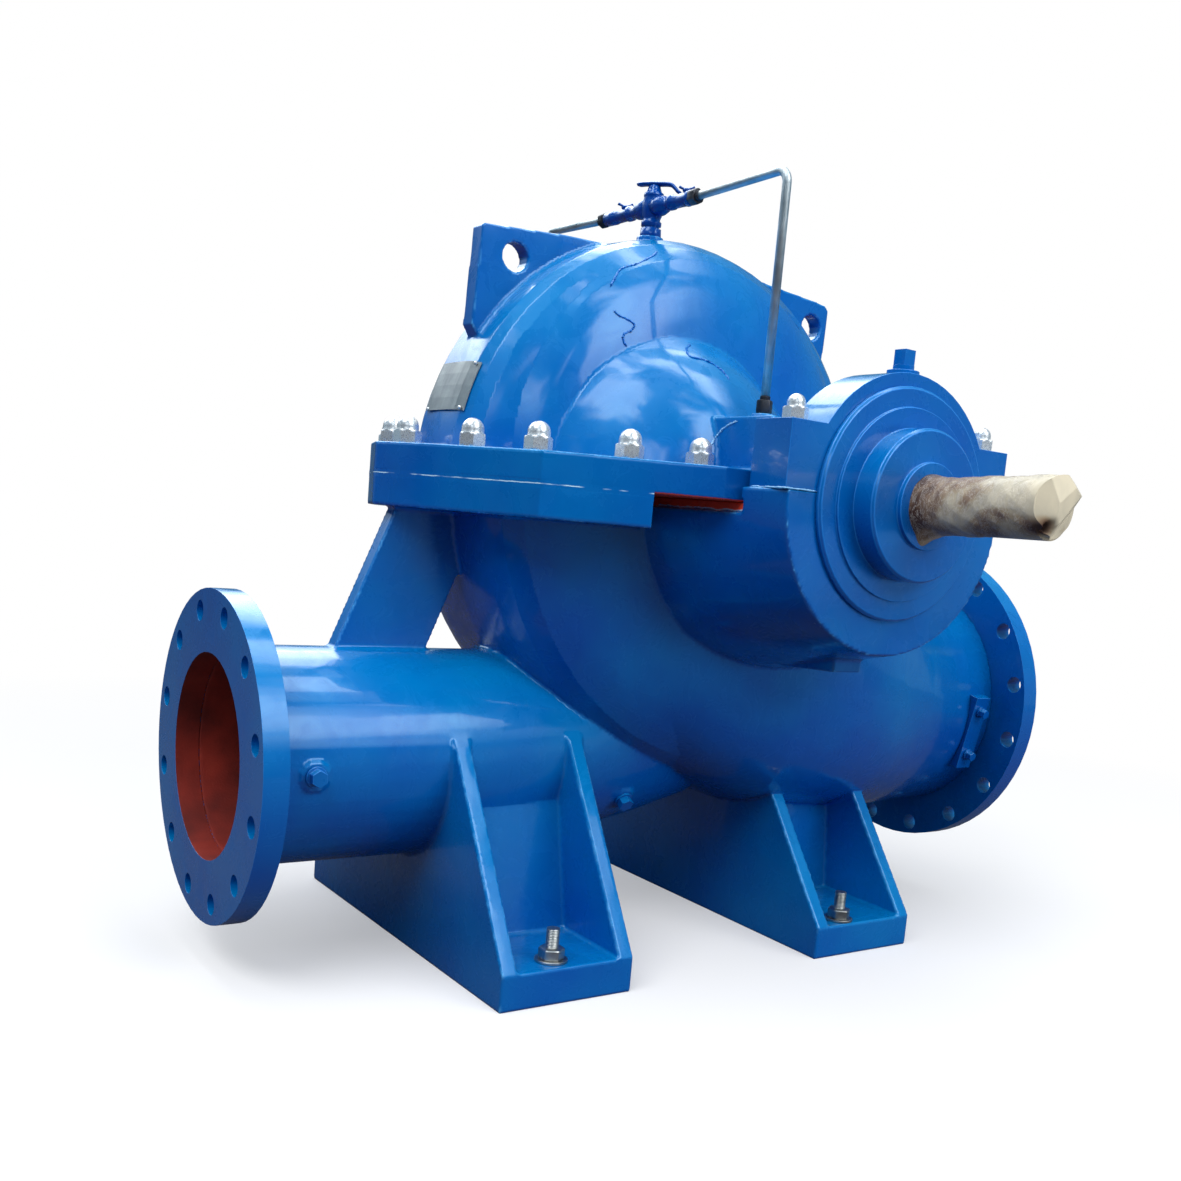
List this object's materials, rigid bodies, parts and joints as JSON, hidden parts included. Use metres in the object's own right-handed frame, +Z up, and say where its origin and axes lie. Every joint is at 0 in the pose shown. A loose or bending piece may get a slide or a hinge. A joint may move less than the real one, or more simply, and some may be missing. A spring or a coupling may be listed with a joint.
{
  "type": "horizontal split-case double-suction centrifugal water pump",
  "caption": "Horizontally split double-suction centrifugal water pump on two feet, with side suction and discharge flanges, a shaft that turns and a vent cock lever.",
  "frame": {"origin": "middle of the pump's bounding box, on the underside of the feet", "axes": "+X out of the suction flange, -X out of the discharge flange, -Y out of the driven shaft end, +Z up"},
  "size_m": [1.251, 1.124, 1.0551],
  "materials": {
    "blue_enamel": "glossy brushed enamel",
    "plated_steel": "zinc plated",
    "steel_tube": "drawn, grey",
    "black_steel": "oiled black steel",
    "wrapping_paper": "creased packing paper under clear film",
    "bare_plate": "bare, brushed"
  },
  "bodies": {
    "casing": {"lower_casing": "blue_enamel", "upper_casing": "blue_enamel", "discharge_flange": "blue_enamel", "suction_flange": "blue_enamel", "web_plate": "blue_enamel", "discharge_foot": "blue_enamel", "suction_foot": "blue_enamel", "lifting_lug_discharge": "blue_enamel", "lifting_lug_suction": "blue_enamel", "bearing_cap_drive": "blue_enamel", "bearing_cap_far": "blue_enamel", "end_cover_drive": "blue_enamel", "end_cover_far": "blue_enamel", "grease_plug_drive": "blue_enamel", "grease_plug_far": "blue_enamel", "vent_cross": "blue_enamel", "discharge_plug": "blue_enamel", "drain_plug": "blue_enamel", "gauge_pad": "blue_enamel", "gauge_plug_upper": "blue_enamel", "gauge_plug_lower": "blue_enamel", "hold_down_bolt_1": "plated_steel", "hold_down_bolt_2": "plated_steel", "hold_down_bolt_3": "plated_steel", "hold_down_bolt_4": "plated_steel", "flush_tube_drive": "steel_tube", "flush_tube_far": "steel_tube", "neck_nut_drive": "black_steel", "neck_nut_far": "black_steel", "vent_nut_drive": "black_steel", "vent_nut_far": "black_steel", "nameplate": "bare_plate"},
    "rotor": {"rotor_shaft": "steel_tube", "shaft_wrap": "wrapping_paper"},
    "vent_lever": {"vent_lever": "blue_enamel"}
  },
  "joints": [
    {"name": "rotor_spin", "type": "hinge", "parent": "casing", "child": "rotor", "pos_m": [0.0735, -0.398, 0.6306], "axis": [0, -1, 0], "continuous": true},
    {"name": "vent_cock", "type": "hinge", "parent": "casing", "child": "vent_lever", "pos_m": [-0.0395, 0.102, 1.05], "axis": [0, 0, 1], "range_deg": [-36, 54]}
  ]
}
